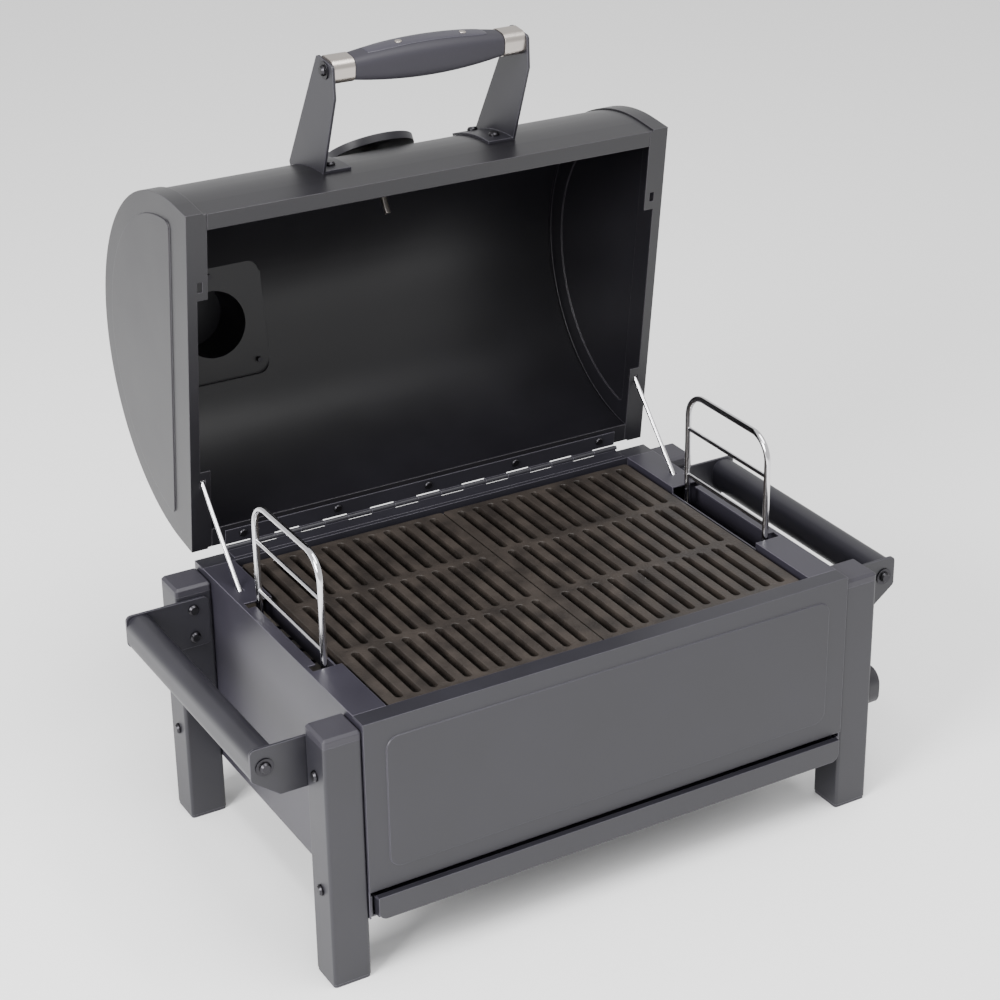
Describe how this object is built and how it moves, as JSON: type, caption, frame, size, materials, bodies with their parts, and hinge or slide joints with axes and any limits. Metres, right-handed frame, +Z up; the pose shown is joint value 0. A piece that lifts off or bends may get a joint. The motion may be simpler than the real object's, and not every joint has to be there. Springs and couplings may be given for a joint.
{
  "type": "tabletop charcoal grill",
  "caption": "Tabletop charcoal grill and smoker: barrel lid on a piano hinge, cast iron cooking grates, lifting charcoal tray, slide-out ash pan, flue and side handles.",
  "frame": {"origin": "bottom centre of the bounding box of the grill with its lid open, on the tabletop", "axes": "+X to the right seen from the front, -Y to the front, +Z up"},
  "size_m": [0.658, 0.5906, 0.7082],
  "materials": {
    "black_powder_coat": "satin",
    "leg_plastic": "satin moulded",
    "black_screws": "black oxide",
    "cast_iron": "seasoned cast iron",
    "chrome_wire": "bright chrome plated",
    "hinge_steel": "satin",
    "brushed_stainless": "brushed",
    "grip_rubber": "soft matt",
    "dial_white": "printed dial",
    "needle_red": "painted",
    "clear_glass": "clear",
    "opener_iron": "black coated casting"
  },
  "bodies": {
    "firebox": {"bottle_opener": "opener_iron", "firebox_back_panel": "black_powder_coat", "firebox_front_panel": "black_powder_coat", "firebox_left_side": "black_powder_coat", "firebox_right_side": "black_powder_coat", "foot_glide_front_left": "leg_plastic", "foot_glide_front_right": "leg_plastic", "foot_glide_rear_left": "leg_plastic", "foot_glide_rear_right": "leg_plastic", "grate_ledge_front": "black_powder_coat", "grate_ledge_rear": "black_powder_coat", "handle_bracket_front_left": "black_powder_coat", "handle_bracket_front_right": "black_powder_coat", "handle_bracket_rear_left": "black_powder_coat", "handle_bracket_rear_right": "black_powder_coat", "hinge_body_leaf": "hinge_steel", "hinge_pin": "hinge_steel", "leg_cap_front_left": "leg_plastic", "leg_cap_front_right": "leg_plastic", "leg_cap_rear_left": "leg_plastic", "leg_cap_rear_right": "leg_plastic", "leg_front_left": "black_powder_coat", "leg_front_right": "black_powder_coat", "leg_rear_left": "black_powder_coat", "leg_rear_right": "black_powder_coat", "leg_screws": "black_screws", "pan_rail_left": "black_powder_coat", "pan_rail_right": "black_powder_coat", "side_handle_left": "black_powder_coat", "side_handle_right": "black_powder_coat", "side_handle_screws": "black_screws"},
    "lid": {"lid_shell": "black_powder_coat", "lid_cap_left": "black_powder_coat", "lid_cap_right": "black_powder_coat", "hinge_lid_leaf": "hinge_steel", "hinge_screws": "black_screws", "lid_handle_arm_left": "black_powder_coat", "lid_handle_arm_right": "black_powder_coat", "handle_ferrule_left": "brushed_stainless", "handle_ferrule_right": "brushed_stainless", "lid_handle_grip": "grip_rubber", "lid_handle_screws": "black_screws", "flue_base": "black_powder_coat", "flue_pipe": "black_powder_coat", "flue_rim": "black_powder_coat", "flue_screws": "black_screws", "gauge_case": "black_powder_coat", "gauge_dial": "dial_white", "gauge_lens": "clear_glass", "gauge_stem": "brushed_stainless"},
    "gauge_needle": {"gauge_needle": "needle_red"},
    "flue_damper": {"flue_damper": "black_powder_coat"},
    "stay_left": {"stay_rod_left": "chrome_wire"},
    "stay_right": {"stay_rod_right": "chrome_wire"},
    "ash_pan": {"ash_pan": "black_powder_coat"},
    "charcoal_tray": {"charcoal_tray": "black_powder_coat", "tray_loop_left": "chrome_wire", "tray_loop_right": "chrome_wire"},
    "grate_left": {"grate_left": "cast_iron"},
    "grate_right": {"grate_right": "cast_iron"}
  },
  "joints": [
    {"name": "lid_hinge", "type": "hinge", "parent": "firebox", "child": "lid", "pos_m": [0, 0.05365, 0.2495], "axis": [1, 0, 0], "range_deg": [0, 83.8]},
    {"name": "stay_left_pivot", "type": "hinge", "parent": "lid", "child": "stay_left", "pos_m": [-0.233, 0.05077, 0.32471], "axis": [1, 0, 0], "range_deg": [-40.83, 0]},
    {"name": "stay_right_pivot", "type": "hinge", "parent": "lid", "child": "stay_right", "pos_m": [0.233, 0.05077, 0.32471], "axis": [1, 0, 0], "range_deg": [-40.83, 0]},
    {"name": "ash_pan_slide", "type": "slide", "parent": "firebox", "child": "ash_pan", "axis": [0, -1, 0], "range_m": [0, 0.33]},
    {"name": "tray_lift", "type": "slide", "parent": "firebox", "child": "charcoal_tray", "axis": [0, 0, 1], "range_m": [-0.058, 0]},
    {"name": "grate_left_lift", "type": "slide", "parent": "firebox", "child": "grate_left", "axis": [0, 0, 1], "range_m": [0, 0.09]},
    {"name": "grate_right_lift", "type": "slide", "parent": "firebox", "child": "grate_right", "axis": [0, 0, 1], "range_m": [0, 0.09]},
    {"name": "flue_damper_pivot", "type": "hinge", "parent": "lid", "child": "flue_damper", "pos_m": [-0.1002, 0.28032, 0.39161], "axis": [0, 0.989, -0.1478], "range_deg": [0, 95]},
    {"name": "gauge_needle_pivot", "type": "hinge", "parent": "lid", "child": "gauge_needle", "pos_m": [0, 0.15412, 0.56969], "axis": [0, 0.5446, 0.8387], "range_deg": [-135, 135]}
  ],
  "couplings": [
    {"joint": "stay_left_pivot", "follows": "lid_hinge", "ratio": -0.4836},
    {"joint": "stay_right_pivot", "follows": "lid_hinge", "ratio": -0.4836}
  ]
}
